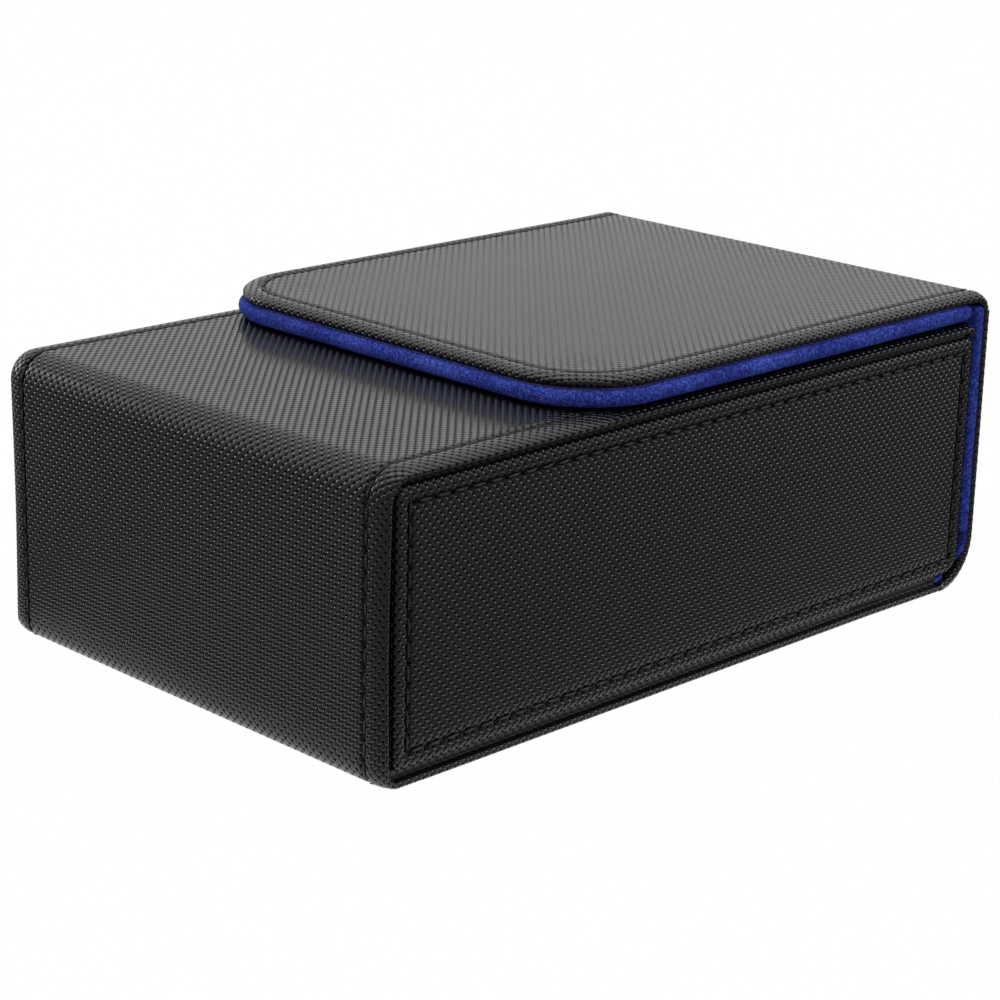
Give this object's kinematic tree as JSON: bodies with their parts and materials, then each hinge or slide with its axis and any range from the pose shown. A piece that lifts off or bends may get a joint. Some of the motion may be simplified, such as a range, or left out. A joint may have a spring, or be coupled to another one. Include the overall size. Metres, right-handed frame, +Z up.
{
  "type": "tarot card case",
  "caption": "Soft black card case with stitched side panels and a padded cover that folds up over the card mouth and over the top; it holds a deck of tarot cards.",
  "frame": {"origin": "middle of the underside's outline, on the plane that the case lies on", "axes": "+X from the closed end to the end leaf, -Y towards the near side panel, +Z up out of the flap"},
  "size_m": [0.141, 0.09, 0.0527],
  "materials": {
    "black_pu": "embossed, semi-gloss",
    "blue_microfibre": "napped, matte",
    "grey_board": "matte",
    "foam": "open-cell foam, matte",
    "magnet": "plated"
  },
  "bodies": {
    "body": {"sleeve_skin": "black_pu", "top_board": "grey_board", "closed_end_board": "grey_board", "bottom_board": "grey_board", "top_lining": "blue_microfibre", "closed_end_lining": "blue_microfibre", "bottom_lining": "blue_microfibre", "body_magnets": "magnet", "near_panel_skin": "black_pu", "near_panel_board": "grey_board", "near_panel_lining": "blue_microfibre", "far_panel_skin": "black_pu", "far_panel_board": "grey_board", "far_panel_lining": "blue_microfibre", "lower_hinge_skin": "black_pu", "lower_hinge_lining": "blue_microfibre"},
    "end_leaf": {"end_leaf_skin": "black_pu", "end_leaf_board": "grey_board", "end_leaf_pad_cover": "blue_microfibre", "end_leaf_foam": "foam", "upper_hinge_skin": "black_pu", "upper_hinge_lining": "blue_microfibre"},
    "flap": {"flap_skin": "black_pu", "flap_board": "grey_board", "flap_magnets": "magnet", "flap_pad_cover": "blue_microfibre", "flap_foam": "foam"}
  },
  "joints": [
    {"name": "end_leaf_fold", "type": "hinge", "parent": "body", "child": "end_leaf", "pos_m": [0.06825, 0, 0.00225], "axis": [0, 1, 0], "range_deg": [0, 90], "deforming": ["lower_hinge_skin", "lower_hinge_lining"]},
    {"name": "flap_fold", "type": "hinge", "parent": "end_leaf", "child": "flap", "pos_m": [0.06943, 0, 0.05164], "axis": [0, 1, 0], "range_deg": [0, 90], "deforming": ["upper_hinge_skin", "upper_hinge_lining"]}
  ]
}
